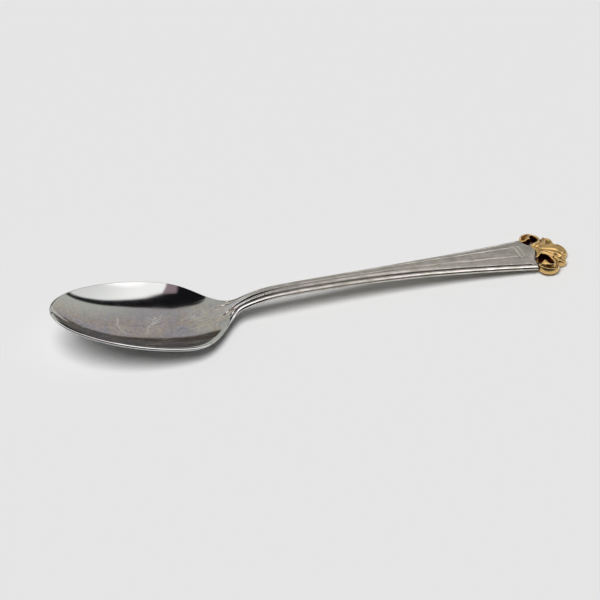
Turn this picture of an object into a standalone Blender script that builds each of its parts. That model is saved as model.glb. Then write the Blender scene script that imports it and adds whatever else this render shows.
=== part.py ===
"""Souvenir teaspoon: a stamped steel spoon with a gilt openwork finial soldered to its end.

The spoon lies on a table, bowl up, along X: bowl tip at -X, finial at +X, table at z = 0.
Lengths in this file are millimetres until they are handed to Blender.
"""

import math

import bmesh
import bpy
from mathutils import Matrix, Vector

MM = 0.001
MERGE = 1e-6

# Driving dimensions of the whole spoon
LENGTH = 140.0
TIP_X = -LENGTH / 2
FINIAL_TIP_X = LENGTH / 2

# Bowl
BOWL_CENTRE_X = -43.0
BOWL_HALF_LENGTH = BOWL_CENTRE_X - TIP_X
BOWL_HALF_WIDTH = 15.45
BOWL_WALL = 1.1
RIM_HEIGHT = 1.1
HEEL_LENGTH = 21.7
TIP_HALF_WIDTH = 0.9

# Handle
NECK_HALF_WIDTH = 2.36
END_HALF_WIDTH = 6.67
NECK_X = -13.0
END_X = 59.0
CROWN = 1.0
EDGE_HEIGHT = 1.45
HANDLE_SLOPE = -0.078
STRAIGHT_FROM = 30.0
NOSE_REACH = 1.6
NOSE_HALF_WIDTH = 3.7
NOSE_FROM = 50.0

# Rim of the bowl and edge of the handle as seen from the side: (x, height)
EDGE_LINE = (
    (-70.0, 12.9), (-62.0, 10.85), (-50.0, 7.8), (-38.0, 4.95), (-31.0, 3.5), (-28.0, 3.05),
    (-25.0, 3.35), (-22.0, 4.5), (-19.0, 5.5), (-15.0, 6.25), (-10.0, 6.5), (0.0, 6.25),
    (12.0, 5.75), (STRAIGHT_FROM, 4.72),
)
# Middle of the upper face as seen from the side, from the tip of the bowl to the arch
KEEL_LINE = (
    (-70.0, 12.9), (-67.0, 10.5), (-62.0, 7.2), (-56.0, 4.3), (-50.0, 2.4), (-44.5, 1.4),
    (-39.0, BOWL_WALL), (-33.5, 1.4), (-30.0, 2.0), (-27.0, 2.85), (-24.0, 4.05), (-20.0, 5.95),
    (-16.0, 7.1), (-10.0, 6.5 + CROWN),
)

# Relief of the handle: where across the half width, how wide, how deep
GROOVES = ((0.41, 0.05, 0.22), (0.76, 0.045, 0.30))
GROOVE_START_X = -24.0
GROOVE_FULL_X = -17.0
GROOVE_END_X = 57.5

# Finial
FINIAL_TILT = math.atan(0.089)
PLATE_THICKNESS = 1.5
UNDERSIDE_SHARE = 0.3
TIP_LEAN = PLATE_THICKNESS * math.sin(FINIAL_TILT)
SEAM = 0.3

SMOOTH_ANGLE = math.radians(40.0)


# ---------------------------------------------------------------------------
# Curves and blends
# ---------------------------------------------------------------------------

def step(x, start, end):
    """0 before start, 1 after end, smooth between."""
    t = min(1.0, max(0.0, (x - start) / (end - start)))
    return t * t * (3.0 - 2.0 * t)


def through(points, x, end_slope=None):
    """Height at x of the smooth curve through points; a straight run after the last one."""
    slopes = [0.0] * len(points)
    for i in range(len(points)):
        a = points[max(i - 1, 0)]
        b = points[min(i + 1, len(points) - 1)]
        slopes[i] = (b[1] - a[1]) / (b[0] - a[0])
    if end_slope is not None:
        slopes[-1] = end_slope
    if x >= points[-1][0]:
        return points[-1][1] + slopes[-1] * (x - points[-1][0])
    for (x0, z0), (x1, z1), m0, m1 in zip(points, points[1:], slopes, slopes[1:]):
        if x <= x1:
            h = x1 - x0
            t = (x - x0) / h
            return ((1 + 2 * t) * (1 - t) ** 2 * z0 + t * (1 - t) ** 2 * h * m0
                    + t * t * (3 - 2 * t) * z1 - t * t * (1 - t) * h * m1)
    return points[-1][1]


def edge_height(x):
    return through(EDGE_LINE, x, HANDLE_SLOPE)


def middle_height(x):
    if x < KEEL_LINE[-1][0]:
        return through(KEEL_LINE, x)
    return edge_height(x) + CROWN


def half_width(x):
    """Half the width of the spoon between its edge lines."""
    if x <= BOWL_CENTRE_X:
        u = min(1.0, (BOWL_CENTRE_X - x) / BOWL_HALF_LENGTH)
        return max(TIP_HALF_WIDTH, BOWL_HALF_WIDTH * math.sqrt(1.0 - u ** 1.9))
    handle = NECK_HALF_WIDTH
    if x > NECK_X:
        handle += (END_HALF_WIDTH - NECK_HALF_WIDTH) * ((x - NECK_X) / (END_X - NECK_X)) ** 2.4
    t = (x - BOWL_CENTRE_X) / HEEL_LENGTH
    if t >= 1.0:
        return handle
    return handle + (BOWL_HALF_WIDTH - handle) * (1.0 - t ** 3.2) ** 2.2


def nose(y):
    """How far the end of the handle bulges past its corners."""
    t = abs(y) / NOSE_HALF_WIDTH
    if t >= 1.0:
        return 0.0
    return NOSE_REACH * math.cos(t * math.pi / 2) ** 1.4


# ---------------------------------------------------------------------------
# Spoon blank: one lofted body
# ---------------------------------------------------------------------------

def groove_depth(t, x):
    """Depth of the long grooves at share t of the half width."""
    fade = step(x, GROOVE_START_X, GROOVE_FULL_X) * (1.0 - step(x, GROOVE_END_X - 1.0, GROOVE_END_X))
    return fade * sum(deep for at, wide, deep in GROOVES if abs(t - at) < wide / 2)


def half_section_shares():
    """Shares of the half width at which the upper face has points."""
    shares = {0.0, 0.14, 0.27, 0.52, 0.64, 0.86, 0.94}
    for at, wide, _ in GROOVES:
        shares.update((at - wide, at, at + wide))
    return sorted(shares)


def half_section(x):
    """Half of a cross-section on +Y, from the middle of the top to the middle of the underside."""
    bowl = 1.0 - step(x, -31.0, -17.0)
    power = 2.0 + 0.3 * bowl
    wide = half_width(x)
    edge = edge_height(x)
    middle = middle_height(x)
    height = RIM_HEIGHT * bowl + EDGE_HEIGHT * (1.0 - bowl)
    wall = BOWL_WALL * bowl + (CROWN + EDGE_HEIGHT) * (1.0 - bowl)
    bulge = 0.1 * bowl + 0.35 * (1.0 - bowl)
    under = middle - wall

    points = []
    for t in half_section_shares():
        z = middle + (edge - middle) * t ** power - groove_depth(t, x)
        points.append((wide * t, z))
    points.append((wide, edge - 0.04))
    points.append((wide + bulge * 0.75, edge - 0.32 * height))
    points.append((wide + bulge, edge - 0.62 * height))
    points.append((wide + bulge * 0.4, edge - 0.92 * height))
    for t in (0.93, 0.78, 0.6, 0.4, 0.2, 0.0):
        z = under + (edge - height - under) * t ** power
        points.append((wide * t, z))
    return points


def section(x):
    """Whole ring of points round the blank at x, starting at the middle of the top."""
    half = half_section(x)
    ring = half + [(-y, z) for y, z in reversed(half[1:-1])]
    share = step(x, NOSE_FROM, END_X)
    points = []
    for y, z in ring:
        shift = share * nose(y)
        points.append(Vector((x + shift, y, z + HANDLE_SLOPE * shift)) * MM)
    return points


def blank_stations():
    """Places along the spoon where a section is drawn, closer where the shape turns."""
    stations = [BOWL_CENTRE_X - BOWL_HALF_LENGTH * math.cos(i / 17 * math.pi / 2) for i in range(17)]
    stations += [BOWL_CENTRE_X + 2.0 * i for i in range(6)]
    stations += [-31.0 + 1.2 * i for i in range(15)]
    stations += [-12.0 + 6.0 * i for i in range(7)]
    stations += [STRAIGHT_FROM + 5.0 * i for i in range(5)]
    stations += [53.0, 55.0, 56.5, 57.5, END_X]
    return stations


def loft(name, rings):
    """Closed body through a row of rings that all have the same number of points."""
    bm = bmesh.new()
    rows = [[bm.verts.new(p) for p in ring] for ring in rings]
    count = len(rings[0])
    for a, b in zip(rows, rows[1:]):
        for i in range(count):
            j = (i + 1) % count
            bm.faces.new((a[i], a[j], b[j], b[i]))
    bm.faces.new(rows[0])
    bm.faces.new(rows[-1])
    bmesh.ops.recalc_face_normals(bm, faces=bm.faces)
    return as_object(name, bm)


def make_blank():
    return loft("spoon_blank", [section(x) for x in blank_stations()])


# ---------------------------------------------------------------------------
# Finial: plate with scrolls, lobes and hub, all one casting
# ---------------------------------------------------------------------------

def seam_curve(y, gap):
    """Face of the finial or the solder, a gap away from the end of the handle."""
    return END_X + nose(y) + gap


def plate_outline():
    """Half outline of the casting in plan, from the tip round to the seam with the handle."""
    centre_lobe = [(FINIAL_TIP_X - TIP_LEAN, 0.0), (69.6, 1.2), (69.0, 2.3), (68.0, 3.0), (67.35, 3.15)]
    flank_lobe = [(67.65, 4.1), (67.5, 5.1), (66.9, 5.9), (66.0, 6.2), (65.1, 5.95)]
    scroll = [(64.85, 6.7), (64.35, 7.7), (63.4, 8.55), (62.2, 8.95), (61.0, 8.75),
              (60.0, 8.2), (59.5, 7.5)]
    root = [(END_X + SEAM, 7.0), (END_X + SEAM, 5.9)]
    bulb = [(60.05, 6.3), (60.35, 5.55), (61.1, 5.1), (61.85, 5.5), (62.0, 6.3)]
    opening = [(62.4, 6.9), (62.9, 6.4), (63.0, 5.3), (62.5, 4.3), (61.6, 3.6)]
    hub = [(seam_curve(y, SEAM), y) for y in (2.9, 2.2, 1.5, 0.75)]
    return centre_lobe + flank_lobe + scroll + root + bulb + opening + hub


def make_plate():
    half = plate_outline()
    outline = half + [(seam_curve(0.0, SEAM), 0.0)] + [(x, -y) for x, y in reversed(half[1:])]
    curve = bpy.data.curves.new("finial_plate", "CURVE")
    curve.dimensions = "2D"
    curve.fill_mode = "BOTH"
    curve.extrude = PLATE_THICKNESS / 2 * MM
    spline = curve.splines.new("POLY")
    spline.points.add(len(outline) - 1)
    for point, (x, y) in zip(spline.points, outline):
        point.co = ((x - FINIAL_TIP_X) * MM, y * MM, 0.0, 1.0)
    spline.use_cyclic_u = True
    plate = mesh_from_curve(curve)
    plate.transform(Matrix.Translation((0.0, 0.0, PLATE_THICKNESS / 2 * MM)))
    return plate


def mesh_from_curve(curve):
    """Mesh of a curve with its caps welded on."""
    holder = bpy.data.objects.new(curve.name, curve)
    bpy.context.scene.collection.objects.link(holder)
    depsgraph = bpy.context.evaluated_depsgraph_get()
    mesh = bpy.data.meshes.new_from_object(holder.evaluated_get(depsgraph))
    bpy.data.objects.remove(holder)
    bm = bmesh.new()
    bm.from_mesh(mesh)
    bmesh.ops.remove_doubles(bm, verts=bm.verts, dist=MERGE)
    bmesh.ops.recalc_face_normals(bm, faces=bm.faces)
    bm.to_mesh(mesh)
    bm.free()
    return mesh


def swelling(name, start, end, half_width_mm, top):
    """Egg between two plan points, flattened underneath: a lobe, the hub or the eye of a scroll."""
    length = math.dist(start, end) / 2
    angle = math.atan2(end[1] - start[1], end[0] - start[0])
    middle = Vector(((start[0] + end[0]) / 2 - FINIAL_TIP_X, (start[1] + end[1]) / 2, PLATE_THICKNESS * 0.6))
    place = Matrix.Translation(middle * MM) @ Matrix.Rotation(angle, 4, "Z")
    size = Matrix.Diagonal((length, half_width_mm, top - middle.z, 1.0)) @ Matrix.Scale(MM, 4)
    mesh = bpy.data.meshes.new(name)
    bm = bmesh.new()
    bmesh.ops.create_uvsphere(bm, u_segments=14, v_segments=9, radius=1.0)
    below = [v for v in bm.verts if v.co.z < 0.0]
    bmesh.ops.scale(bm, vec=(1.0, 1.0, UNDERSIDE_SHARE), verts=below)
    bmesh.ops.transform(bm, matrix=place @ size, verts=bm.verts)
    bm.to_mesh(mesh)
    bm.free()
    return mesh


def scroll_ridge(side):
    """Rounded band that runs from the hub round the opening and back to the corner of the handle."""
    route = [(62.3, 3.2), (63.2, 4.2), (63.75, 5.4), (63.75, 6.6), (63.1, 7.6), (62.0, 8.0),
             (60.9, 7.8), (60.25, 7.15)]
    curve = bpy.data.curves.new("scroll_ridge", "CURVE")
    curve.dimensions = "3D"
    curve.bevel_depth = 0.75 * MM
    curve.bevel_resolution = 2
    curve.use_fill_caps = True
    spline = curve.splines.new("POLY")
    spline.points.add(len(route) - 1)
    for point, (x, y) in zip(spline.points, route):
        point.co = ((x - FINIAL_TIP_X) * MM, side * y * MM, PLATE_THICKNESS * 0.95 * MM, 1.0)
    return mesh_from_curve(curve)


def make_finial(cutters):
    """Casting: the plate joined with its swellings, tilted down to the table at the tip."""
    additions = [swelling("centre_lobe", (61.5, 0.0), (69.5, 0.0), 1.9, 2.2),
                 swelling("hub", (60.9, 0.0), (64.0, 0.0), 2.1, 2.75)]
    for side in (-1, 1):
        additions.append(swelling("flank_lobe", (62.0, side * 1.6), (67.2, side * 5.3), 1.25, 2.2))
        additions.append(swelling("scroll_eye", (60.5, side * 6.1), (61.8, side * 6.1), 0.8, 2.2))
        additions.append(scroll_ridge(side))
    finial = new_object("finial", make_plate())
    for mesh in additions:
        join_tool = new_object("tool_" + mesh.name, mesh, cutters)
        join_tool.hide_render = True
        join_tool.display_type = "WIRE"
        union = finial.modifiers.new("join " + mesh.name, "BOOLEAN")
        union.operation = "UNION"
        union.object = join_tool
        join_tool.matrix_world = finial_place()
    finial.matrix_world = finial_place()
    return finial


def finial_place():
    return Matrix.Translation((FINIAL_TIP_X * MM, 0.0, 0.0)) @ Matrix.Rotation(FINIAL_TILT, 4, "Y")


# ---------------------------------------------------------------------------
# Solder seams
# ---------------------------------------------------------------------------

def solder_seam(name, ys, low, high):
    """Film of solder that fills the joint between the handle and the finial."""
    gap = 0.05
    rings = []
    for y in ys:
        near = seam_curve(y, gap)
        far = seam_curve(y, SEAM - gap)
        rings.append([Vector((x, y, z)) * MM
                      for x, z in ((near, low), (near, high), (far, high), (far, low))])
    return loft(name, rings)


def make_seams():
    centre = solder_seam("solder_seam_centre", [-2.2 + 0.55 * i for i in range(9)], 1.25, 2.45)
    left = solder_seam("solder_seam_left", [6.05, 6.45], 1.2, 2.1)
    right = solder_seam("solder_seam_right", [-6.45, -6.05], 1.2, 2.1)
    return [centre, left, right]


# ---------------------------------------------------------------------------
# Objects, collections and finishes
# ---------------------------------------------------------------------------

def as_object(name, bm):
    mesh = bpy.data.meshes.new(name)
    bm.to_mesh(mesh)
    bm.free()
    return new_object(name, mesh)


def new_object(name, mesh, collection=None):
    obj = bpy.data.objects.new(name, mesh)
    (collection or bpy.data.collections["souvenir_spoon"]).objects.link(obj)
    return obj


def finish(obj, name, colour, roughness, metallic):
    material = bpy.data.materials.new(name)
    material.use_nodes = True
    shader = material.node_tree.nodes["Principled BSDF"]
    shader.inputs["Base Color"].default_value = (*colour, 1.0)
    shader.inputs["Roughness"].default_value = roughness
    shader.inputs["Metallic"].default_value = metallic
    obj.data.materials.clear()
    obj.data.materials.append(material)
    obj.data.shade_smooth()
    obj.data.set_sharp_from_angle(angle=SMOOTH_ANGLE)


def main():
    for obj in list(bpy.data.objects):
        bpy.data.objects.remove(obj)
    for name in ("souvenir_spoon", "cutters"):
        bpy.context.scene.collection.children.link(bpy.data.collections.new(name))

    blank = make_blank()
    finial = make_finial(bpy.data.collections["cutters"])
    seams = make_seams()

    finish(blank, "satin_stainless_steel", (0.36, 0.35, 0.32), 0.3, 1.0)
    finish(finial, "gold_plate", (0.72, 0.49, 0.17), 0.25, 1.0)
    for seam in seams:
        finish(seam, "silver_solder", (0.55, 0.53, 0.48), 0.4, 1.0)


main()
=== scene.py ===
"""Looks of a souvenir teaspoon: stamped steel spoon, gilt openwork finial, solder seams, studio."""

import math

import bmesh
import bpy
import numpy as np
from mathutils import Matrix, Vector, noise


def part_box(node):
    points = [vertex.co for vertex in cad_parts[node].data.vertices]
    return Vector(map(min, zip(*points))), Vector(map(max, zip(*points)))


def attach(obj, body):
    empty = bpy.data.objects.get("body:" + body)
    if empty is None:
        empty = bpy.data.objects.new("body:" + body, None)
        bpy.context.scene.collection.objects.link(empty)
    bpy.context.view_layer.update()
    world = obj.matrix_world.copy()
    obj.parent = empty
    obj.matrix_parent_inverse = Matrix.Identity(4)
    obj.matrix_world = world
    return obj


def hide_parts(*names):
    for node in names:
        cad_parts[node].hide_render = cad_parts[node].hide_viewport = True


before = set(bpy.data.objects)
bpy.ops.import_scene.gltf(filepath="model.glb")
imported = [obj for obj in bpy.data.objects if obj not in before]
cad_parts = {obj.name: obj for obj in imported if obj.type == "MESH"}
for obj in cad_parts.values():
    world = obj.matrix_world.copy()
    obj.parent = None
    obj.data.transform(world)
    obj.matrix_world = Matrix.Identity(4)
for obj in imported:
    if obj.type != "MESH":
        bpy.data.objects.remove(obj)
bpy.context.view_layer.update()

bl_info = {
    "name": "Souvenir Spoon",
    "version": (1, 0, 0),
    "blender": (4, 5, 0),
    "location": "View3D > Sidebar > Spoon",
    "description": "Builds a teaspoon with a gilt palmette finial, and the studio it stands in",
    "category": "Add Mesh",
}

MM = 0.001
BLANK_BOX = [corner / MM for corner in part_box("spoon_blank")]
FINIAL_BOX = [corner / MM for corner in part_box("finial")]

TIP_X = BLANK_BOX[0].x
FINIAL_TIP_X = FINIAL_BOX[1].x

# Rim of the bowl and edge of the handle as seen from the side, mm: (x, height)
STRAIGHT_FROM = 30.0
HANDLE_SLOPE = -0.078
EDGE_LINE = (
    (-70.0, 12.9), (-62.0, 10.85), (-50.0, 7.8), (-38.0, 4.95), (-31.0, 3.5), (-28.0, 3.05),
    (-25.0, 3.35), (-22.0, 4.5), (-19.0, 5.5), (-15.0, 6.25), (-10.0, 6.5), (0.0, 6.25),
    (12.0, 5.75), (STRAIGHT_FROM, 4.72),
)
# Middle of the upper face as seen from the side, from the tip of the bowl to the arch, mm
KEEL_LINE = (
    (-70.0, 12.9), (-67.0, 10.5), (-62.0, 7.2), (-56.0, 4.3), (-50.0, 2.4), (-44.5, 1.4),
    (-39.0, 1.1), (-33.5, 1.4), (-30.0, 2.0), (-27.0, 2.85), (-24.0, 4.05), (-20.0, 5.95),
    (-16.0, 7.1), (-10.0, 7.5),
)
BOWL_CENTRE_X = -43.0
HEEL_LENGTH = 21.7
NECK_X = -13.0
END_X = 59.0
NOSE_REACH = 1.6
NOSE_HALF_WIDTH = 3.7
NOSE_FROM = 50.0


# ---------------------------------------------------------------------------
# Settings
# ---------------------------------------------------------------------------

def length_value(label, about, default):
    return bpy.props.FloatProperty(name=label, description=about, default=default * MM,
                                   unit="LENGTH", subtype="DISTANCE", precision=5)


def colour_value(label, about, default):
    return bpy.props.FloatVectorProperty(name=label, description=about, size=3, min=0.0, max=1.0,
                                         default=hex_colour(default), subtype="COLOR")


def angle_value(label, about, degrees):
    return bpy.props.FloatProperty(name=label, description=about, default=math.radians(degrees),
                                   subtype="ANGLE", unit="ROTATION")


def plain_value(label, about, default):
    return bpy.props.FloatProperty(name=label, description=about, default=default)


def hex_colour(code):
    """Linear colour of an sRGB hex value."""
    parts = [int(code[i:i + 2], 16) / 255 for i in (1, 3, 5)]
    return tuple(c / 12.92 if c <= 0.04045 else ((c + 0.055) / 1.055) ** 2.4 for c in parts)


class SpoonBodySettings(bpy.types.PropertyGroup):
    bowl_width: length_value("Bowl width", "Between the edge lines of the bowl", 30.9)
    neck_width: length_value("Neck width", "Narrowest part of the handle", 4.72)
    end_width: length_value("End width", "Handle at the finial, between its edge lines", 13.34)
    wall: length_value("Bowl wall", "Thickness of the metal in the bowl", 1.1)
    edge: length_value("Handle edge", "Height of the side of the handle", 1.45)
    crown: length_value("Crown", "Rise of the handle's middle above its edges", 1.0)
    line_depth: length_value("Frame line depth", "Depth of the two inner lines", 0.20)
    groove_depth: length_value("Edge groove depth", "Depth of the two outer grooves", 0.32)
    steel: colour_value("Steel", "Polished stainless steel", "#CACBC9")
    satin: colour_value("Satin steel", "Handle, worn to a satin", "#DAD8CF")


class FinialSettings(bpy.types.PropertyGroup):
    plate: length_value("Plate", "Thickness of the openwork plate", 1.3)
    voxel: length_value("Grain of the mesh", "Size of the cells the casting is merged at", 0.1)
    gold: colour_value("Gold", "Bright gold plate", "#DDB878")
    # Painted shade: the gold is darkened to this in the hollows
    hollow_shaded_gold: colour_value("Deep gold", "Gold in the hollows", "#A8703A")
    # Crests are lightened to this, partly worn plate and partly a painted highlight
    bare_and_highlight: colour_value("Bare metal", "Nickel where the gold is worn off", "#E3D9C2")


class SolderSettings(bpy.types.PropertyGroup):
    bead: length_value("Bead", "Thickness of the solder bead", 0.3)
    solder: colour_value("Solder", "Dull silver solder", "#AFAAA0")


class StudioSettings(bpy.types.PropertyGroup):
    azimuth: angle_value("Azimuth", "Camera, round the object", -18.7)
    elevation: angle_value("Elevation", "Camera above the horizon", 35.6)
    distance: length_value("Distance", "Camera to the point it looks at", 549.0)
    focal: plain_value("Lens", "Focal length in mm", 127.2)
    floor: colour_value("Floor", "Pale matt board", "#E6E6E6")
    key: plain_value("Key light", "Strength of the soft key light", 3.0)
    fill: plain_value("Fill", "Even light of the white room", 0.21)


# ---------------------------------------------------------------------------
# Curves and blends, all in mm
# ---------------------------------------------------------------------------

def step(x, start, end):
    """0 before start, 1 after end, smooth between."""
    t = np.clip((np.asarray(x, float) - start) / (end - start), 0.0, 1.0)
    return t * t * (3.0 - 2.0 * t)


def bump(x, middle, width):
    """Bell of height 1 at middle."""
    return np.exp(-((np.asarray(x, float) - middle) / width) ** 2)


def through(points, x, end_slope=None):
    """Heights at x of the smooth curve through points; straight runs before and after them."""
    px = np.array([p[0] for p in points])
    pz = np.array([p[1] for p in points])
    last = len(px) - 1
    before = np.maximum(np.arange(last + 1) - 1, 0)
    after = np.minimum(np.arange(last + 1) + 1, last)
    slope = (pz[after] - pz[before]) / (px[after] - px[before])
    if end_slope is not None:
        slope[last] = end_slope
    x = np.asarray(x, float)
    i = np.clip(np.searchsorted(px, x) - 1, 0, last - 1)
    h = px[i + 1] - px[i]
    t = np.clip((x - px[i]) / h, 0.0, 1.0)
    inside = ((1 + 2 * t) * (1 - t) ** 2 * pz[i] + t * (1 - t) ** 2 * h * slope[i]
              + t * t * (3 - 2 * t) * pz[i + 1] - t * t * (1 - t) * h * slope[i + 1])
    past = np.maximum(x - px[last], 0.0) * slope[last] + np.minimum(x - px[0], 0.0) * slope[0]
    return inside + past


def eased(curve, x, reach):
    """Curve averaged over a bell-shaped window, so that a mirror finish shows no kinks."""
    shares = np.linspace(-1.0, 1.0, 15)
    weights = 1.0 + np.cos(math.pi * shares)
    weights /= weights.sum()
    return sum(w * curve(np.asarray(x, float) + reach * s) for w, s in zip(weights, shares))


# ---------------------------------------------------------------------------
# Spoon body
# ---------------------------------------------------------------------------

class BodyShape:
    """Heights and widths of the stamped spoon at any places x, in mm."""

    # Shares of the half width: the frame line, and the groove before the grid is warped to it
    line_share = 0.39
    groove_share = 0.86
    # Width of the bevelled rim, on the bowl and on the handle
    lip = 0.62
    handle_lip = 0.5
    # Section of the rim, from the inside out and under: degrees above the horizon, and mm along it
    rim_turns = ((66, 0.04), (57, 0.10), (55, 0.10), (53, 0.10), (49, 0.10), (38, 0.10),
                 (28, 0.12), (18, 0.12), (8, 0.08), (-2, 0.10), (-14, 0.10), (-28, 0.12),
                 (-40, 0.16), (-50, 0.18), (-62, 0.20))
    round_off = 0.22
    # Points of the rim's section that still belong to the bead
    bead_points = 10
    # Two cut bars across the end of the handle, and the raised one between them
    bars = (55.3, 56.7)
    bar_depth = 0.3
    raised_bar = 56.0
    bar_rise = 0.14
    bar_half = 2.7

    def __init__(self, settings):
        self.bowl_half = settings.bowl_width / MM / 2
        self.neck_half = settings.neck_width / MM / 2
        self.end_half = settings.end_width / MM / 2
        self.wall = settings.wall / MM
        self.side = settings.edge / MM
        self.crown = settings.crown / MM
        self.line_depth = settings.line_depth / MM
        self.groove_depth = settings.groove_depth / MM
        start = TIP_X + self.lip
        self.tip_gap = float(self.edge(start) - self.raw_middle(start))

    def raw_width_squared(self, x):
        """Square of the half width, which runs straight through the tip of the bowl."""
        back = BOWL_CENTRE_X - x
        u = np.maximum(back, 0.0) / (BOWL_CENTRE_X - TIP_X)
        tip = self.bowl_half ** 2 * (1.0 - u ** 1.9)
        along = np.maximum((x - NECK_X) / (END_X - NECK_X), 0.0)
        handle = self.neck_half + (self.end_half - self.neck_half) * along ** 2.4
        t = np.clip(-back / HEEL_LENGTH, 0.0, 1.0)
        heel = handle + (self.bowl_half - handle) * (1.0 - t ** 3.2) ** 2.2
        return np.where(back > 0.0, tip, heel ** 2)

    def width_squared(self, x):
        return eased(self.raw_width_squared, x, 2.4)

    def edge(self, x):
        return eased(lambda v: through(EDGE_LINE, v, HANDLE_SLOPE), x, 3.0)

    def raw_middle(self, x):
        def line(v):
            arch = through(EDGE_LINE, v, HANDLE_SLOPE) + self.crown
            return np.where(v < KEEL_LINE[-1][0], through(KEEL_LINE, v), arch)
        return eased(line, x, 3.0)

    def middle(self, x):
        """Height of the middle, brought together with the rim at the tip of the bowl."""
        near = np.exp(-(x - TIP_X - self.lip) / 1.5)
        return self.raw_middle(x) + self.tip_gap * near

    def bead(self, x):
        """Width of the bead outside the edge groove."""
        return 0.26 + 0.08 * step(x, -10.0, 55.0)

    def relief(self, x, y, inner):
        """Height added to the plain dome: lines, reeds, edge grooves and bars."""
        deepen = 1.0 + 0.8 * bump(x, -18.0, 7.0)
        width = 0.20 - 0.06 * step(x, -18.0, -5.0) + 0.04 * step(x, 0.0, 50.0)
        line = bump(y, self.line_share * inner, width)
        line = line * step(x, -27.0, -24.0) * (1.0 - step(x, 54.9, 55.3))
        reed = bump(y, 0.62 * inner, width)
        reed = reed * step(x, -24.5, -22.5) * (1.0 - step(x, -8.0, 25.0))
        groove = bump(y, inner - self.bead(x), width)
        groove = groove * step(x, -25.0, -22.5) * (1.0 - step(x, 57.4, 58.2))
        across = x + step(x, NOSE_FROM, END_X) * nose(y)
        bars = sum(bump(across, bar, 0.22) for bar in self.bars)
        bars = self.bar_depth * bars * (1.0 - step(y, self.bar_half - 0.25, self.bar_half))
        raised = self.bar_rise * bump(across, self.raised_bar, 0.45)
        raised = raised * (1.0 - step(y, self.bar_half - 0.4, self.bar_half))
        cut = (self.line_depth * (line + 0.7 * reed) + self.groove_depth * groove) * deepen
        return raised - cut - bars

    def stations(self):
        """Places along the spoon with a ring of points, and how far each ring is drawn in."""
        reach = BOWL_CENTRE_X - TIP_X
        tip = BOWL_CENTRE_X - reach * np.cos(np.linspace(0.0, math.pi / 2, 70, endpoint=False))
        end = END_X - self.round_off
        runs = [(BOWL_CENTRE_X, -31.0, 26), (-31.0, -15.0, 52), (-15.0, 54.0, 140),
                (54.0, 57.2, 32), (57.2, end, 18)]
        flat = np.concatenate([tip] + [np.linspace(a, b, n, endpoint=False) for a, b, n in runs])
        angle = np.radians(np.linspace(0.0, 90.0, 7))
        x = np.concatenate([flat, end + self.round_off * np.sin(angle)])
        inset = np.concatenate([0.0 * flat, self.round_off * (1.0 - np.cos(angle))])
        return x[:, None], inset[:, None]

    def shares(self, x, inner):
        """Shares of the inner half width with a point, closer together at the lines."""
        found = set(np.round(np.linspace(0.0, 1.0, 27), 4)) | {0.980, 0.992, 0.997}
        for at in (self.line_share, self.groove_share):
            for off in (0.0, 0.010, 0.020, 0.032, 0.046, 0.065):
                found.update((round(at - off, 4), round(at + off, 4)))
        share = np.array(sorted(found))
        place = 1.0 - self.bead(x) / inner
        low, high = self.line_share, self.groove_share
        middle = low + (share - low) * (place - low) / (high - low)
        outer = place + (share - high) * (1.0 - place) / (1.0 - high)
        warped = np.where(share < low, share, np.where(share < high, middle, outer))
        return share + (warped - share) * step(x, -30.0, -18.0)

    def rings(self):
        """Rings of points, each from the middle of the top, round by +Y and back by -Y."""
        x, inset = self.stations()
        half = np.sqrt(np.maximum(self.width_squared(x), 0.0))
        change = (self.width_squared(x + 0.01) - self.width_squared(x - 0.01)) / 0.04
        norm = np.hypot(change, half)
        out_x, out_y = -change / norm, half / norm
        bowl = 1.0 - step(x, -31.0, -17.0)
        height = self.wall * bowl + self.side * (1.0 - bowl) - 2 * inset
        bulge = 0.06 * bowl + 0.22 * (1.0 - bowl) - inset
        power = 2.0 + 0.3 * bowl
        lip = self.handle_lip + (self.lip - self.handle_lip) * bowl
        inner = np.maximum(half - lip * out_y - inset, 0.0)
        centre_x = x - lip * out_x

        top = self.middle(centre_x) - inset
        rim = self.edge(centre_x) - inset
        share = self.shares(centre_x, np.maximum(inner, 1.5))
        y = share * inner
        z = top + (rim - top) * share ** power
        z = z + self.relief(centre_x, y, inner)
        upper = np.stack([np.broadcast_to(centre_x, y.shape), y, z], -1)

        turns, lengths = np.array(self.rim_turns, float).T
        turns = np.radians(turns)
        out, down = np.cumsum([lengths * np.sin(turns), lengths * np.cos(turns)], 1)
        off = -lip + (lip + bulge) * out / out.max()
        side_x = x + off * out_x
        side_z = self.edge(side_x) - inset - height * down / down[-1]
        side = np.stack([side_x, half - inset + off * out_y, side_z], -1)

        thick = self.wall * bowl + (self.crown + self.side) * (1.0 - bowl)
        under = self.middle(centre_x) - thick + inset
        low = share[:, ::-1][:, 1:]
        low_z = under + (rim - height - under) * low ** power
        lower = np.stack([np.broadcast_to(centre_x, low.shape), low * inner, low_z], -1)

        right = np.concatenate([upper, side, lower], 1)
        left = right[:, 1:-1][:, ::-1] * np.array([1.0, -1.0, 1.0])
        ring = np.concatenate([right, left], 1)
        shift = step(x, NOSE_FROM, END_X) * nose(ring[:, :, 1])
        ring[:, :, 0] += shift
        ring[:, :, 2] += HANDLE_SLOPE * shift
        count = upper.shape[1]
        face, bead = np.zeros((2,) + right.shape[:2])
        face[:, :count] = 1.0
        bead_from = inner - self.bead(x)
        bead[:, :count] = step(y, bead_from - 0.25, bead_from - 0.1)
        bead[:, count:count + self.bead_points] = 1.0
        gaps = np.hypot(*np.moveaxis(np.diff(right[:, :, 1:], axis=1), 2, 0))
        across = np.concatenate([np.zeros((len(x), 1)), np.cumsum(gaps, 1)], 1)
        marks = {"upper_face": face, "bead": bead, "across": across}
        return ring, {name: np.concatenate([mark, mark[:, 1:-1][:, ::-1]], 1)
                      for name, mark in marks.items()}


def nose(y):
    """How far the end of the handle bulges past its corners."""
    t = np.minimum(np.abs(y) / NOSE_HALF_WIDTH, 1.0)
    return NOSE_REACH * np.cos(t * math.pi / 2) ** 1.4


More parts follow.
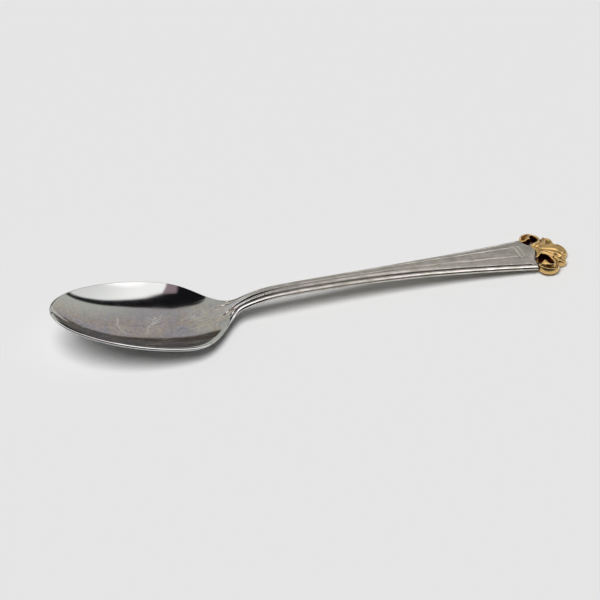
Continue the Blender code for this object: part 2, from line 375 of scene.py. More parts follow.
def rolled_skin(rings, marks=None):
    """Grid of faces rolled into a tube through the rings, with the marks as attributes."""
    marks = marks or {}
    along, around = rings.shape[:2]
    bm = bmesh.new()
    bmesh.ops.create_grid(bm, x_segments=along - 1, y_segments=around, size=0.5)
    for name in marks:
        bm.verts.layers.float.new(name)
    layers = [(bm.verts.layers.float[name], mark) for name, mark in marks.items()]
    for v in bm.verts:
        i = round((v.co.x + 0.5) * (along - 1))
        j = round((v.co.y + 0.5) * around) % around
        v.co = Vector(rings[i, j]) * MM
        for layer, mark in layers:
            v[layer] = mark[i, j]
    bmesh.ops.remove_doubles(bm, verts=bm.verts, dist=1e-8)
    bmesh.ops.holes_fill(bm, edges=[e for e in bm.edges if e.is_boundary], sides=0)
    bmesh.ops.triangulate(bm, faces=[f for f in bm.faces if len(f.verts) > 4])
    bmesh.ops.recalc_face_normals(bm, faces=bm.faces)
    return bm


def build_body(settings):
    rings, marks = BodyShape(settings).rings()
    rings[:, :, 2] += pebble_height(rings) * marks["upper_face"] * (1.0 - marks["bead"])
    return mesh_object("spoon_body", rolled_skin(rings, marks))


PEBBLE_DEPTH = 0.13
PEBBLES_PER_MM = 2.2


def pebble_height(rings):
    """Fine hammered pebbles on the nose, between the bars and the finial."""
    x, y = rings[:, :, 0], rings[:, :, 1]
    mask = step(x, 57.0, 57.6) * (1.0 - step(np.abs(y), 2.8, 3.6))
    height = np.zeros_like(x)
    for i, j in zip(*np.nonzero(mask > 0.01)):
        at = Vector((x[i, j] * PEBBLES_PER_MM, y[i, j] * PEBBLES_PER_MM, 0.0))
        height[i, j] = mask[i, j] * PEBBLE_DEPTH * noise.noise(at)
    return height


# ---------------------------------------------------------------------------
# Finial
# ---------------------------------------------------------------------------

# Outline of the openwork on the +Y side, in plan, mm; each run is rounded, and runs meet in corners
CENTRE_LOBE = [(69.9, 0.0), (69.85, 0.9), (69.35, 2.0), (68.5, 2.85), (67.4, 3.1)]
FLANK_LOBE = [(67.4, 3.1), (67.95, 4.1), (67.6, 5.5), (66.5, 6.3), (65.0, 5.95)]
SCROLL_BACK = [(65.0, 5.95), (64.9, 7.1), (64.0, 8.3), (62.6, 9.05), (61.0, 8.95), (59.7, 8.2),
               (59.12, 6.95)]
SCROLL_FOOT = [(59.12, 6.95), (59.12, 5.3)]
SCROLL_SLOT = [(59.12, 5.3), (59.8, 5.4), (60.4, 5.1), (61.2, 4.8), (61.95, 5.4), (62.1, 6.75)]
OPENING = [(62.1, 6.75), (62.85, 6.9), (63.15, 5.5), (62.75, 4.1), (61.9, 3.3), (60.9, 2.9)]
# Where the casting meets the nose of the handle
SEAM_SIDES = (2.9, 2.2, 1.5, 0.75, 0.0)
SEAM_OVERLAP = 0.06

# Crests (height above 0) and hollows (below 0) of the relief: points, height, half width, sides
RELIEF = (
    ([(61.9, 1.6), (63.1, 2.0), (64.4, 3.0), (65.3, 4.3), (65.6, 5.7)], 0.55, 0.95, (1, -1)),
    ([(62.4, 0.8), (64.2, 1.3), (65.8, 2.1), (67.2, 3.0)], 0.42, 0.85, (1, -1)),
    ([(62.6, 0.2), (64.6, 0.3), (66.2, 0.2), (67.2, -0.5), (67.9, -1.6)], 0.45, 0.80, (1,)),
    ([(66.9, 0.5), (67.5, -0.1), (68.0, -0.9)], -0.40, 0.60, (1,)),
    ([(61.3, 2.4), (62.9, 3.3), (63.75, 4.6), (63.8, 6.1), (63.1, 7.2), (62.2, 7.4)],
     0.70, 0.90, (1, -1)),
    ([(62.6, 7.3), (61.8, 6.9), (61.3, 6.3), (61.15, 5.4)], 0.80, 1.15, (1, -1)),
    ([(60.0, 6.5), (60.5, 7.4), (61.6, 8.0), (63.4, 7.9)], -0.80, 0.65, (1, -1)),
    ([(63.4, 7.9), (64.4, 6.9), (64.6, 5.4), (64.2, 4.1)], -0.35, 0.65, (1, -1)),
    ([(59.5, 7.0), (60.1, 8.0), (61.8, 8.65), (63.5, 8.3), (64.5, 7.2), (64.7, 6.2)],
     0.40, 0.60, (1, -1)),
    ([(65.9, 5.9), (67.0, 5.7), (67.5, 4.7), (67.2, 3.7)], 0.30, 0.60, (1, -1)),
    ([(66.5, 5.0), (66.2, 4.0), (65.2, 2.8)], -0.30, 0.80, (1, -1)),
    ([(68.3, 2.5), (69.3, 1.7), (69.6, 0.0), (69.3, -1.7), (68.3, -2.5)], 0.28, 0.65, (1,)),
)
# The casting before its crests and hollows, mm: highest round the hub, falling towards the tips
HUB_X = 61.6
HUB_HEIGHT = 2.25
FALL_PER_MM = 0.16
THINNEST = 0.7
RIM_REACH = 0.65
RIM_DROP = 0.7
FINIAL_SLOPE = 0.089


def finial_place():
    """Tips the casting down to the table at its far end."""
    tilt = Matrix.Rotation(math.atan(FINIAL_SLOPE), 4, "Y")
    return Matrix.Translation((FINIAL_TIP_X * MM, 0.0, 0.0)) @ tilt


def rounded(points):
    """Points with the corners between them cut off three times over; the ends stay."""
    line = np.array(points, float)
    for _ in range(3):
        cut = np.stack([0.75 * line[:-1] + 0.25 * line[1:], 0.25 * line[:-1] + 0.75 * line[1:]], 1)
        line = np.concatenate([line[:1], cut.reshape(-1, 2)[1:-1], line[-1:]])
    return line


def distance_to(line, places):
    """Distance in plan from each place to a line of points."""
    nearest = np.full(len(places), 1e9)
    for start, end in zip(line[:-1], line[1:]):
        run = end - start
        t = np.clip(((places - start) @ run) / max(run @ run, 1e-12), 0.0, 1.0)
        nearest = np.minimum(nearest, np.hypot(*(places - start - t[:, None] * run).T))
    return nearest


def half_outline():
    """Rounded outline of the +Y half, from the tip round to the front of the hub."""
    parts = (CENTRE_LOBE, FLANK_LOBE, SCROLL_BACK, SCROLL_FOOT, SCROLL_SLOT, OPENING)
    runs = [rounded(part) for part in parts]
    runs.append(np.array([(END_X + float(nose(y)) + SEAM_OVERLAP, y) for y in SEAM_SIDES]))
    return np.concatenate([runs[0]] + [run[1:] if np.allclose(run[0], before[-1]) else run
                                       for before, run in zip(runs, runs[1:])])


def casting_plate(thickness):
    """Flat plate with the outline of the casting."""
    half = half_outline()
    outline = np.concatenate([half, (half * (1.0, -1.0))[-2:0:-1]])
    curve = bpy.data.curves.new("casting_plate", "CURVE")
    curve.dimensions = "2D"
    curve.fill_mode = "BOTH"
    curve.extrude = thickness / 2 * MM
    spline = curve.splines.new("POLY")
    spline.points.add(len(outline) - 1)
    for point, (x, y) in zip(spline.points, outline):
        point.co = ((x - FINIAL_TIP_X) * MM, y * MM, 0.0, 1.0)
    spline.use_cyclic_u = True
    holder = bpy.data.objects.new("casting_plate", curve)
    bpy.context.scene.collection.objects.link(holder)
    depsgraph = bpy.context.evaluated_depsgraph_get()
    mesh = bpy.data.meshes.new_from_object(holder.evaluated_get(depsgraph))
    mesh.transform(Matrix.Translation((0.0, 0.0, thickness / 2 * MM)))
    bpy.data.objects.remove(holder)
    bpy.data.curves.remove(curve)
    bm = bmesh.new()
    bm.from_mesh(mesh)
    bpy.data.meshes.remove(mesh)
    bmesh.ops.remove_doubles(bm, verts=bm.verts, dist=1e-7)
    bmesh.ops.recalc_face_normals(bm, faces=bm.faces)
    return bm


def casting_height(places):
    """Height of the casting above its flat back, at places in plan, mm."""
    from_hub = np.hypot(places[:, 0] - HUB_X, 0.8 * places[:, 1])
    height = HUB_HEIGHT - FALL_PER_MM * np.maximum(from_hub - 1.0, 0.0)
    crest, hollow = np.zeros(len(places)), np.zeros(len(places))
    for points, rise, reach, sides in RELIEF:
        for side in sides:
            line = rounded(points) * (1.0, side)
            near = 1.0 - step(distance_to(line, places), 0.0, reach)
            crest = np.maximum(crest, rise * near)
            hollow = np.minimum(hollow, rise * near)
    from_rim = distance_to(half_outline(), np.abs(places))
    near_rim = np.clip(1.0 - from_rim / RIM_REACH, 0.0, 1.0)
    drop = RIM_DROP * (1.0 - np.sqrt(1.0 - near_rim ** 2 * 0.98))
    return np.maximum(height + crest + hollow, THINNEST) - drop


def merged(bm, voxel, smoothing):
    """One even, softened skin round a closed mesh."""
    raw = mesh_object("casting", bm)
    remesh = raw.modifiers.new("Merge", "REMESH")
    remesh.mode = "VOXEL"
    remesh.voxel_size = voxel
    soften = raw.modifiers.new("Soften", "SMOOTH")
    soften.factor = 0.5
    soften.iterations = smoothing
    depsgraph = bpy.context.evaluated_depsgraph_get()
    mesh = bpy.data.meshes.new_from_object(raw.evaluated_get(depsgraph))
    bpy.data.objects.remove(raw)
    even = bmesh.new()
    even.from_mesh(mesh)
    bpy.data.meshes.remove(mesh)
    return even


def plan_of(bm):
    """Places in plan of the points of a casting that isn't in its place yet, mm."""
    places = np.array([v.co for v in bm.verts]) / MM + (FINIAL_TIP_X, 0.0, 0.0)
    return places[:, :2]


def build_finial(settings):
    thickness = settings.plate / MM
    bm = merged(casting_plate(thickness), settings.voxel, 2)
    for v, height in zip(bm.verts, casting_height(plan_of(bm))):
        v.co.z *= height / thickness
    bm = merged(bm, settings.voxel * 0.85, 9)
    # Painted shade: the steep walls round the slot and the opening are marked to be coloured dark
    walls = np.concatenate([rounded(SCROLL_SLOT), rounded(OPENING)[1:]])
    bmesh.ops.recalc_face_normals(bm, faces=bm.faces)
    bm.normal_update()
    steep = 1.0 - step(np.array([v.normal.z for v in bm.verts]), 0.45, 0.8)
    shade = steep * (1.0 - step(distance_to(walls, np.abs(plan_of(bm))), 0.35, 0.6))
    bmesh.ops.transform(bm, matrix=finial_place(), verts=bm.verts)
    mark_wear_and_painted_shade(bm, shade)
    return mesh_object("palmette_finial", bm)


def mark_wear_and_painted_shade(bm, shade):
    """Marks the wear of the gold, with painted light: above 0.5 on crests (worn plate and painted
    highlight), below it in hollows (painted shade), 0 on the walls of the openings (painted shade).
    """
    bm.normal_update()
    places = np.array([v.co for v in bm.verts]) / MM
    normals = np.array([v.normal for v in bm.verts])
    ends = np.array([[v.index for v in e.verts] for e in bm.edges])
    count = np.bincount(ends.ravel(), minlength=len(places))[:, None]
    smooth = places.copy()
    for _ in range(24):
        total = np.zeros_like(smooth)
        np.add.at(total, ends[:, 0], smooth[ends[:, 1]])
        np.add.at(total, ends[:, 1], smooth[ends[:, 0]])
        smooth = 0.5 * smooth + 0.5 * total / np.maximum(count, 1)
    proud = ((places - smooth) * normals).sum(1)
    layer = bm.verts.layers.float.new("wear")
    for v, value in zip(bm.verts, np.clip(0.5 + proud / 0.2, 0.0, 1.0) * (1.0 - shade)):
        v[layer] = float(value)


# ---------------------------------------------------------------------------
# Solder seams
# ---------------------------------------------------------------------------

SEAMS = {"centre": (-2.4, 2.4), "left": (6.0, 6.6), "right": (-6.6, -6.0)}
SEAM_HEIGHT = 2.0
# Half a bead's width and height, in halves of its thickness
BEAD_WIDTH = 0.5
BEAD_HEIGHT = 2.2


def build_seam(name, start, end, bead):
    """Bead of solder along the joint between two values of y."""
    angle = np.linspace(0.0, 2 * math.pi, 12, endpoint=False)
    rings = []
    for y in np.linspace(start, end, 24):
        x = END_X + float(nose(y)) + SEAM_OVERLAP / 2
        z = SEAM_HEIGHT + HANDLE_SLOPE * (x - END_X)
        fade = math.sin(math.pi * (y - start + 0.01) / (end - start + 0.02)) ** 0.3
        radius = bead / 2 * fade
        rings.append(np.stack([x + radius * BEAD_WIDTH * np.cos(angle), np.full_like(angle, y),
                               z + radius * BEAD_HEIGHT * np.sin(angle)], -1))
    return mesh_object(name, rolled_skin(np.array(rings)))


# ---------------------------------------------------------------------------
# Materials
# ---------------------------------------------------------------------------

def put(tree, kind, inputs=None, stops=(), give=None, **settings):
    """Adds a node and hands back one output: the one give names, or else the first live one.

    An input is a value, or the output that feeds it; stops are a ramp's places and colours.
    """
    node = tree.nodes.new("ShaderNode" + kind)
    for name, value in settings.items():
        setattr(node, name, value)
    for name, value in (inputs or {}).items():
        if isinstance(value, bpy.types.NodeSocket):
            tree.links.new(value, node.inputs[name])
        else:
            node.inputs[name].default_value = value
    for i, (place, colour) in enumerate(stops):
        elements = node.color_ramp.elements
        element = elements[i] if i < len(elements) else elements.new(place)
        element.position, element.color = place, rgba(hex_colour(colour))
    if give is not None:
        return node.outputs[give]
    return next((output for output in node.outputs if output.enabled), None)


def new_material(name):
    material = bpy.data.materials.new(name)
    material.use_nodes = True
    tree = material.node_tree
    return material, tree, tree.nodes["Principled BSDF"]


def rgba(colour):
    return (*colour, 1.0)


# Rings left by dried drops: centre x and y and radius in mm, middle and half of the arc in degrees
DROPS = ((-42.5, 2.5, 9.9, 184.0, 24.0), (-40.3, -1.6, 5.5, 140.0, 46.0),
         (-27.0, 6.0, 4.2, 80.0, 50.0))
# Patches where drops have left a crust, mm: centre x and y, radius
CRUSTS = ((-55.3, 6.2, 3.2), (-42.3, 3.9, 3.8), (-32.8, 2.4, 3.4), (-60.5, 4.0, 4.0))
# How far the outlines of rings and crusts are shifted, mm: from 0 to this, so half of it on average
WOBBLE = 1.6
FLOOR_OF_BOWL = 3.0
LIME = "#DAD8D3"
# Painted shade on the walls of the openings
OPENING_WALL_SHADE = "#4A1606"


def stainless_steel(settings):
    """Stainless steel: the bowl buffed to a stained mirror, the handle worn to a satin."""
    material, tree, shader = new_material("stainless_steel_buffed_and_satin")
    place = put(tree, "TexCoord", give="Object")
    along, aside, _ = put(tree, "SeparateXYZ", {"Vector": place}).node.outputs
    upper, bead, across = (put(tree, "Attribute", give="Fac", attribute_name=name)
                           for name in ("upper_face", "bead", "across"))
    # 1 on the satin handle, 0 in the buffed bowl; the change takes 18 mm along the neck
    satin = put(tree, "MapRange", {"Value": along, "From Min": -24.0 * MM, "From Max": -6.0 * MM},
                interpolation_type="SMOOTHSTEP")
    bowl = put(tree, "MapRange", {"Value": along, "From Min": -19.0 * MM, "From Max": -24.0 * MM},
               interpolation_type="SMOOTHSTEP")
    inside = put(tree, "Math", {0: upper, 1: bowl}, operation="MULTIPLY")
    flat = put(tree, "Math", {0: inside, 1: bead}, operation="SUBTRACT", use_clamp=True)

    # Heat-coloured film dried on the bowl: clouds about 5 mm across, mottled every 1 mm
    clouds = put(tree, "TexNoise", {"Vector": place, "Scale": 210.0, "Detail": 5.0,
                                    "Roughness": 0.68, "Distortion": 0.6})
    film = put(tree, "ValToRGB", {"Fac": clouds},
               [(0.30, "#A8ACB8"), (0.42, "#BAB7BD"), (0.50, "#BFBBBA"), (0.58, "#C6BBB2"),
                (0.68, "#D2D2C6")])
    mottle = put(tree, "TexNoise", {"Vector": place, "Scale": 1100.0, "Detail": 3.0,
                                    "Roughness": 0.6})
    shade = put(tree, "MapRange", {"Value": mottle, "From Min": 0.3, "From Max": 0.7,
                                   "To Min": 0.82, "To Max": 1.16})
    film = put(tree, "VectorMath", {0: film, "Scale": shade}, operation="SCALE")
    # The film lies where the last of the liquid dried, short of the +Y wall
    dried = put(tree, "MapRange", {"Value": aside, "From Min": 8.5 * MM, "From Max": 3.0 * MM})
    dried = put(tree, "Math", {0: dried, 1: flat}, operation="MULTIPLY")
    buffed = put(tree, "Mix", {0: dried, 6: rgba(settings.steel), 7: film}, data_type="RGBA")

    # Lengthwise wear on the handle, 0.3 mm apart and some 8 mm long; drawn coarser than real grit
    skin = put(tree, "CombineXYZ", {"X": along, "Y": across})
    stretched = put(tree, "Mapping", {"Vector": skin, "Scale": (120.0, 3.3, 1.0)})
    lines = put(tree, "TexNoise", {"Vector": stretched, "Scale": 1.0, "Detail": 2.0})
    blotches = put(tree, "TexNoise", {"Vector": place, "Scale": 420.0, "Detail": 3.0})
    wear = put(tree, "Math", {0: lines, 1: blotches}, operation="ADD")
    mean = put(tree, "Math", {0: wear, 1: 0.5}, operation="MULTIPLY")
    worn = put(tree, "ValToRGB", {"Fac": mean},
               [(0.36, "#B5B3A8"), (0.50, "#CFCCC2"), (0.60, "#DAD5CF"), (0.68, "#EFEDE6")])
    colour = put(tree, "Mix", {0: satin, 6: buffed, 7: worn}, data_type="RGBA")

    # Lime left by dried drops: rings 0.3 mm wide, and crusts of broken threads
    wobble = put(tree, "TexNoise", {"Vector": place, "Scale": 350.0, "Detail": 2.0}, give="Color")
    wobble = put(tree, "VectorMath", {0: wobble, "Scale": WOBBLE * MM}, operation="SCALE")
    moved = put(tree, "VectorMath", {0: place, 1: wobble}, operation="ADD")
    lime = 0.0
    for x, y, radius, middle, half in DROPS:
        centre = ((x + WOBBLE / 2) * MM, (y + WOBBLE / 2) * MM, 0.0)
        local = put(tree, "VectorMath", {0: moved, 1: centre}, operation="SUBTRACT")
        local = put(tree, "VectorMath", {0: local, 1: (1.0, 1.0, 0.0)}, operation="MULTIPLY")
        reach = put(tree, "VectorMath", {0: local}, operation="LENGTH")
        off = put(tree, "Math", {0: reach, 1: radius * MM}, operation="SUBTRACT")
        off = put(tree, "Math", {0: off}, operation="ABSOLUTE")
        ring = put(tree, "MapRange", {"Value": off, "From Min": 0.08 * MM, "From Max": 0.34 * MM,
                                      "To Min": 0.8, "To Max": 0.0})
        heading = put(tree, "VectorMath", {0: local}, operation="NORMALIZE")
        towards = (math.cos(math.radians(middle)), math.sin(math.radians(middle)), 0.0)
        facing = put(tree, "VectorMath", {0: heading, 1: towards}, operation="DOT_PRODUCT")
        arc = put(tree, "MapRange", {"Value": facing, "From Min": math.cos(math.radians(half)),
                                     "From Max": math.cos(math.radians(half * 0.7))})
        lime = put(tree, "Math", {0: ring, 1: arc, 2: lime}, operation="MULTIPLY_ADD")
    threads = put(tree, "TexNoise", {"Vector": place, "Scale": 420.0, "Detail": 4.0,
                                     "Roughness": 0.65, "Distortion": 1.2})
    off = put(tree, "Math", {0: threads, 1: 0.5}, operation="SUBTRACT")
    off = put(tree, "Math", {0: off}, operation="ABSOLUTE")
    thread = put(tree, "MapRange", {"Value": off, "From Min": 0.01, "From Max": 0.045,
                                    "To Min": 0.9, "To Max": 0.0})
    for x, y, radius in CRUSTS:
        centre = ((x + WOBBLE / 2) * MM, (y + WOBBLE / 2) * MM, FLOOR_OF_BOWL * MM)
        gap = put(tree, "VectorMath", {0: moved, 1: centre}, operation="DISTANCE")
        patch = put(tree, "MapRange", {"Value": gap, "From Min": radius * MM,
                                       "From Max": 0.3 * radius * MM})
        lime = put(tree, "Math", {0: thread, 1: patch, 2: lime}, operation="MULTIPLY_ADD")
    # Fine scratches from wiping, 0.4 mm apart
    wiped = put(tree, "Mapping", {"Vector": place, "Rotation": (0.0, 0.0, 0.45),
                                  "Scale": (150.0, 2600.0, 900.0)})
    scratch = put(tree, "TexNoise", {"Vector": wiped, "Scale": 1.0, "Detail": 3.0})
    scratch = put(tree, "MapRange", {"Value": scratch, "From Min": 0.54, "From Max": 0.72,
                                     "To Min": 0.0, "To Max": 0.5})
    lime = put(tree, "Math", {0: scratch, 1: dried, 2: lime}, operation="MULTIPLY_ADD",
               use_clamp=True)
    lime = put(tree, "Math", {0: lime, 1: flat}, operation="MULTIPLY")
    colour = put(tree, "Mix", {0: lime, 6: colour, 7: rgba(hex_colour(LIME))}, data_type="RGBA")
    metal = put(tree, "MapRange", {"Value": lime, "To Min": 1.0, "To Max": 0.80})

    buffed_rough = put(tree, "MapRange", {"Value": clouds, "To Min": 0.03, "To Max": 0.13})
    buffed_rough = put(tree, "Math", {0: lime, 1: 0.4, 2: buffed_rough}, operation="MULTIPLY_ADD")
    satin_rough = put(tree, "MapRange", {"Value": wear, "From Min": 0.8, "From Max": 1.3,
                                         "To Min": 0.52, "To Max": 0.34})
    # The bead is rubbed bright towards the end of the handle
    rubbed = put(tree, "MapRange", {"Value": along, "From Min": 10.0 * MM, "From Max": 48.0 * MM,
                                    "To Min": 0.12})
    rubbed = put(tree, "Math", {0: rubbed, 1: bead}, operation="MULTIPLY")
    satin_rough = put(tree, "Mix", {0: rubbed, 2: satin_rough, 3: 0.16}, data_type="FLOAT")
    rough = put(tree, "Mix", {0: satin, 2: buffed_rough, 3: satin_rough}, data_type="FLOAT")

    depth = put(tree, "Math", {0: satin, 1: 0.35}, operation="MULTIPLY")
    grain = put(tree, "Bump", {"Height": lines, "Strength": depth, "Distance": 0.03 * MM})
    for name, source in (("Base Color", colour), ("Metallic", metal), ("Roughness", rough),
                         ("Normal", grain)):
        tree.links.new(source, shader.inputs[name])
    return material


def gold_plate(settings):
    """Gold electroplate on a cast finial: bright on the faces, painted shade in hollows and
    openings, worn and lightened with a painted highlight on edges.
    """
    material, tree, shader = new_material("worn_gold_electroplate")
    place = put(tree, "TexCoord", give="Object")
    wear = put(tree, "Attribute", give="Fac", attribute_name="wear")
    # Painted shade darkens the gold in hollows; crests are lightened as worn plate and as a painted
    # highlight
    hollow = put(tree, "MapRange", {"Value": wear, "From Min": 0.12, "From Max": 0.45},
                 interpolation_type="SMOOTHSTEP")
    crest = put(tree, "MapRange", {"Value": wear, "From Min": 0.66, "From Max": 0.88},
                interpolation_type="SMOOTHSTEP")
    # Painted shade: the walls of the openings, where the wear is 0, are coloured a dark red-brown
    out_of_wall_shade = put(tree, "MapRange", {"Value": wear, "From Max": 0.2})
    tone = put(tree, "Mix", {0: hollow, 6: rgba(settings.hollow_shaded_gold), 7: rgba(settings.gold)},
               data_type="RGBA")
    tone = put(tree, "Mix", {0: crest, 6: tone, 7: rgba(settings.bare_and_highlight)}, data_type="RGBA")
    tone = put(tree, "Mix", {0: out_of_wall_shade, 6: rgba(hex_colour(OPENING_WALL_SHADE)), 7: tone},
               data_type="RGBA")
    # Casting grain, 0.3 mm
    grain = put(tree, "TexNoise", {"Vector": place, "Scale": 3300.0, "Detail": 2.0})
    rough = put(tree, "MapRange", {"Value": grain, "To Min": 0.22, "To Max": 0.36})
    relief = put(tree, "Bump", {"Height": grain, "Distance": 0.01 * MM, "Strength": 0.4})
    for name, source in (("Base Color", tone), ("Roughness", rough), ("Normal", relief)):
        tree.links.new(source, shader.inputs[name])
    shader.inputs["Metallic"].default_value = 1.0
    return material


def silver_solder(settings):
    """Silver solder: dull grey with a slightly lumpy skin."""
    material, tree, shader = new_material("silver_solder")
    place = put(tree, "TexCoord", give="Object")
    # Lumps 0.4 mm across
    lumps = put(tree, "TexNoise", {"Vector": place, "Scale": 2500.0, "Detail": 2.0})
    rough = put(tree, "MapRange", {"Value": lumps, "To Min": 0.35, "To Max": 0.55})
    relief = put(tree, "Bump", {"Height": lumps, "Distance": 0.03 * MM, "Strength": 0.5})
    tree.links.new(rough, shader.inputs["Roughness"])
    tree.links.new(relief, shader.inputs["Normal"])
    shader.inputs["Base Color"].default_value = rgba(settings.solder)
    shader.inputs["Metallic"].default_value = 1.0
    return material


def matt_board(settings):
    """Matt white card under the object, with a faint paper tooth."""
    material, tree, shader = new_material("matt_white_board")
    place = put(tree, "TexCoord", give="Object")
    # Tooth of 1 mm, coarser than real paper
    tooth = put(tree, "TexNoise", {"Vector": place, "Scale": 900.0, "Detail": 2.0})
    relief = put(tree, "Bump", {"Height": tooth, "Distance": 0.02 * MM, "Strength": 0.15})
    tree.links.new(relief, shader.inputs["Normal"])
    shader.inputs["Base Color"].default_value = rgba(settings.floor)
    shader.inputs["Roughness"].default_value = 0.9
    shader.inputs["Specular IOR Level"].default_value = 0.1
    return material


# ---------------------------------------------------------------------------
# Studio
# ---------------------------------------------------------------------------

LOOK_AT = (-4.2, 2.3, 0.0)
SENSOR_WIDTH = 36.0
FLOOR_SIZE = 1.5
# Towards the key light: shares to the right, to the far side and up
KEY_SIDE = (-0.22, -0.36, 0.88)
KEY_SPREAD = 42


def aim(settings):
    """Directions from the scene: back to the camera, level to the far side, and to the right."""
    a, e = settings.azimuth, settings.elevation
    back = Vector((math.sin(a) * math.cos(e), -math.cos(a) * math.cos(e), math.sin(e)))
    far = Vector((-math.sin(a), math.cos(a), 0.0))
    right = Vector((math.cos(a), math.sin(a), 0.0))
    return back, far, right


def set_camera(settings):
    back, _, _ = aim(settings)
    camera = bpy.data.objects.new("camera", bpy.data.cameras.new("camera"))
    bpy.context.scene.collection.objects.link(camera)
    camera.location = Vector(LOOK_AT) * MM + back * settings.distance
    camera.rotation_euler = back.to_track_quat("Z", "Y").to_euler()
    camera.data.lens = settings.focal
    camera.data.sensor_width = SENSOR_WIDTH
    camera.data.clip_start = 0.01
    camera.data.clip_end = 20.0
    bpy.context.scene.camera = camera


def set_floor(settings):
    bm = bmesh.new()
    bmesh.ops.create_grid(bm, x_segments=2, y_segments=2, size=FLOOR_SIZE)
    floor = mesh_object("studio_floor", bm)
    floor.data.materials.append(matt_board(settings))


def set_key_light(settings):
    """Large soft source high up on the camera's side, to the left."""
    _, far, right = aim(settings)
    lamp = bpy.data.lights.new("key_light", "SUN")
    lamp.energy = settings.key
    lamp.angle = math.radians(KEY_SPREAD)
    light = bpy.data.objects.new("key_light", lamp)
    bpy.context.scene.collection.objects.link(light)
    to_right, to_far, to_top = KEY_SIDE
    towards = (right * to_right + far * to_far + Vector((0, 0, to_top))).normalized()
    light.rotation_euler = towards.to_track_quat("Z", "Y").to_euler()
    light.visible_glossy = False


# What shines in the steel, as patches of the room: over from, over to, aside from, aside to,
# colour. "over" is the angle over the top in degrees: 0 at the far horizon, 90 overhead and 180 at
# the near one. "aside" goes from -1 on the left to 1 on the right. A patch starts at its "from"
# and is full at its "to".
FROM_SIDE_TO_SIDE = (-9.0, -8.0)
WALL = (
    (16.0, 20.5, *FROM_SIDE_TO_SIDE, "#B9B6B6"),  # grey wall over the dark skirting
    (16.0, 24.0, 0.30, 0.75, "#CDCFC8"),          # its lighter right end
    (14.0, 24.0, -0.04, -0.28, "#C6C8C1"),        # its lighter left end
    (10.0, 24.0, -0.30, -0.60, "#E2E4DE"),        # window further left
)
SKIRTING = "#59534E"
# Linear colours: the ceiling is brighter than white
DARK_GAP = (0.010, 0.010, 0.012, 1.0)
WHITE_CEILING = (2.0, 1.9, 1.95, 1.0)


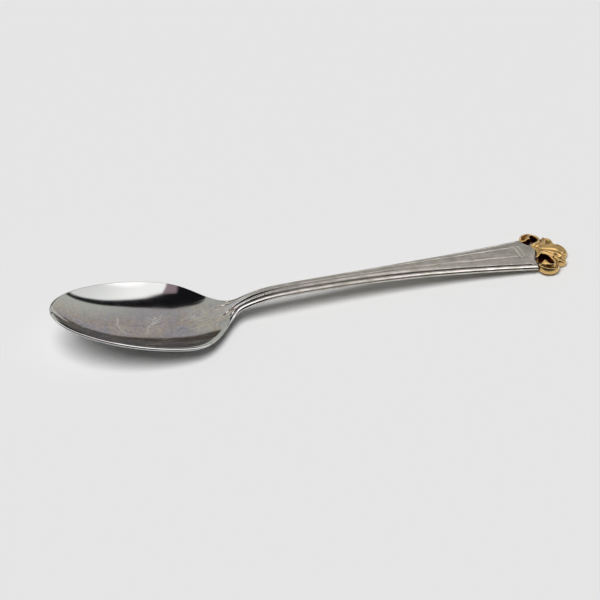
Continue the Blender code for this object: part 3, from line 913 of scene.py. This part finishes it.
def set_room(settings):
    """World: the room with its soft box for shiny things, an even pale room for the camera."""
    _, far, right = aim(settings)
    world = bpy.data.worlds.new("studio")
    bpy.context.scene.world = world
    world.use_nodes = True
    tree = world.node_tree
    tree.nodes.clear()
    view = put(tree, "TexCoord", give="Generated")
    up, ahead, aside = (put(tree, "VectorMath", {0: view, 1: axis}, operation="DOT_PRODUCT")
                        for axis in ((0.0, 0.0, 1.0), tuple(far), tuple(right)))
    turn = put(tree, "Math", {0: up, 1: ahead}, operation="ARCTAN2")
    over = put(tree, "Math", {0: turn, 1: 180 / math.pi}, operation="MULTIPLY")

    # The skirting gets lower to the right
    low = put(tree, "MapRange", {"Value": aside, "From Min": 0.04, "From Max": 0.50,
                                 "To Min": 0.0, "To Max": 24.0})
    level = put(tree, "Math", {0: over, 1: low}, operation="ADD")
    # The dark gap starts lower on the left
    gap_start = put(tree, "MapRange", {"Value": aside, "From Min": -0.05, "From Max": 0.35,
                                       "To Min": 59.5, "To Max": 67.0},
                    interpolation_type="SMOOTHSTEP")
    # Degrees past the far edges of the gap and of the soft box, which both bend down to the right
    past_edges = []
    for bend, power, drop, start in ((0.45, 2.0, -150.0, gap_start), (0.30, 3.0, -160.0, 79.5)):
        out = put(tree, "MapRange", {"Value": aside, "From Min": bend, "From Max": 1.0,
                                     "To Min": 0.0, "To Max": 1.0 - bend})
        sink = put(tree, "Math", {0: out, 1: power}, operation="POWER")
        edge = put(tree, "Math", {0: sink, 1: drop, 2: start}, operation="MULTIPLY_ADD")
        past_edges.append(put(tree, "Math", {0: over, 1: edge}, operation="SUBTRACT"))
    past_gap, past_box = past_edges
    soft_box = put(tree, "MapRange", {"Value": aside, "From Min": 0.90, "From Max": 0.50,
                                      "To Min": 1.0, "To Max": 1.42},
                   interpolation_type="SMOOTHSTEP")

    patches = [(level, *row) for row in WALL] + [
        (past_gap, -1.5, 1.5, -0.38, -0.26, DARK_GAP),
        (over, 77.0, 80.0, 0.02, 0.08, "#A49198"),                # dim ceiling left of the soft box
        (past_box, -2.0, 2.0, 0.25, 0.30, soft_box),
        (over, 90.0, 96.0, *FROM_SIDE_TO_SIDE, WHITE_CEILING),    # this side of the soft box
        (over, 110.0, 116.0, *FROM_SIDE_TO_SIDE, "#1E1D1C"),      # dark room round the camera
    ]
    shown = rgba(hex_colour(SKIRTING))
    for height, height_from, height_to, aside_from, aside_to, colour in patches:
        rise = put(tree, "MapRange", {"Value": height, "From Min": height_from,
                                      "From Max": height_to}, interpolation_type="SMOOTHSTEP")
        across = put(tree, "MapRange", {"Value": aside, "From Min": aside_from,
                                        "From Max": aside_to}, interpolation_type="SMOOTHSTEP")
        part = put(tree, "Math", {0: rise, 1: across}, operation="MULTIPLY")
        if isinstance(colour, str):
            colour = rgba(hex_colour(colour))
        shown = put(tree, "Mix", {0: part, 6: shown, 7: colour}, data_type="RGBA")
    # The board again below the horizon
    below = put(tree, "MapRange", {"Value": up, "From Min": 0.0, "From Max": -0.02})
    shown = put(tree, "Mix", {0: below, 6: shown, 7: rgba(settings.floor)}, data_type="RGBA")

    # A reflection of a reflection is duller, and matt things get their light from the far left
    rays = put(tree, "LightPath").node.outputs
    again = put(tree, "MapRange", {"Value": rays["Glossy Depth"], "From Min": 1.0, "From Max": 2.0,
                                   "To Min": 1.0, "To Max": 0.4})
    shown = put(tree, "VectorMath", {0: shown, "Scale": again}, operation="SCALE")
    lean = put(tree, "Math", {0: aside, 1: -0.9, 2: ahead}, operation="MULTIPLY_ADD")
    even = put(tree, "MapRange", {"Value": lean, "From Min": -0.53, "From Max": 0.13,
                                  "To Min": 0.02, "To Max": settings.fill})
    seen = put(tree, "Mix", {0: rays["Is Glossy Ray"], 6: even, 7: shown}, data_type="RGBA")
    seen = put(tree, "Mix", {0: rays["Is Camera Ray"], 6: seen, 7: rgba(settings.floor)},
               data_type="RGBA")
    background = put(tree, "Background", {"Color": seen})
    put(tree, "OutputWorld", {"Surface": background})


# ---------------------------------------------------------------------------
# Objects
# ---------------------------------------------------------------------------

def mesh_object(name, bm):
    mesh = bpy.data.meshes.new(name)
    bm.to_mesh(mesh)
    bm.free()
    mesh.shade_smooth()
    obj = bpy.data.objects.new(name, mesh)
    bpy.context.scene.collection.objects.link(obj)
    return obj


def place_piece(obj, material, node):
    """Gives a piece its finish and ties it to the frame."""
    obj.data.materials.append(material)
    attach(obj, "root")
    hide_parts(node)


class SPOON_OT_body(bpy.types.Operator):
    """Build the stamped steel spoon"""
    bl_idname = "spoon.body"
    bl_label = "Spoon Body"

    def execute(self, context):
        settings = context.scene.spoon_body
        place_piece(build_body(settings), stainless_steel(settings), "spoon_blank")
        return {"FINISHED"}


class SPOON_OT_finial(bpy.types.Operator):
    """Build the gilt palmette at the end of the handle"""
    bl_idname = "spoon.finial"
    bl_label = "Finial"

    def execute(self, context):
        settings = context.scene.spoon_finial
        place_piece(build_finial(settings), gold_plate(settings), "finial")
        return {"FINISHED"}


class SPOON_OT_solder(bpy.types.Operator):
    """Build the three beads of solder that hold the finial"""
    bl_idname = "spoon.solder"
    bl_label = "Solder Seams"

    def execute(self, context):
        settings = context.scene.spoon_solder
        material = silver_solder(settings)
        bead = settings.bead / MM
        for name, (start, end) in SEAMS.items():
            seam = build_seam("solder_bead_" + name, start, end, bead)
            place_piece(seam, material, "solder_seam_" + name)
        return {"FINISHED"}


class SPOON_OT_studio(bpy.types.Operator):
    """Set the floor, the light and the camera"""
    bl_idname = "spoon.studio"
    bl_label = "Studio"

    def execute(self, context):
        settings = context.scene.spoon_studio
        set_floor(settings)
        set_key_light(settings)
        set_room(settings)
        set_camera(settings)
        context.scene.view_settings.view_transform = "Standard"
        return {"FINISHED"}


class SPOON_PT_panel(bpy.types.Panel):
    """Steps that build the spoon"""
    bl_idname = "SPOON_PT_panel"
    bl_label = "Souvenir Spoon"
    bl_space_type = "VIEW_3D"
    bl_region_type = "UI"
    bl_category = "Spoon"

    def draw(self, context):
        for operator in OPERATORS:
            self.layout.operator(operator.bl_idname)


SETTINGS = {"spoon_body": SpoonBodySettings, "spoon_finial": FinialSettings,
            "spoon_solder": SolderSettings, "spoon_studio": StudioSettings}
OPERATORS = (SPOON_OT_body, SPOON_OT_finial, SPOON_OT_solder, SPOON_OT_studio)


def register():
    for name, group in SETTINGS.items():
        bpy.utils.register_class(group)
        setattr(bpy.types.Scene, name, bpy.props.PointerProperty(type=group))
    for kind in (*OPERATORS, SPOON_PT_panel):
        bpy.utils.register_class(kind)


def unregister():
    for kind in (SPOON_PT_panel, *reversed(OPERATORS)):
        bpy.utils.unregister_class(kind)
    for name, group in SETTINGS.items():
        delattr(bpy.types.Scene, name)
        bpy.utils.unregister_class(group)


def main():
    register()
    bpy.ops.spoon.body()
    bpy.ops.spoon.finial()
    bpy.ops.spoon.solder()
    bpy.ops.spoon.studio()


if __name__ == "__main__":
    main()
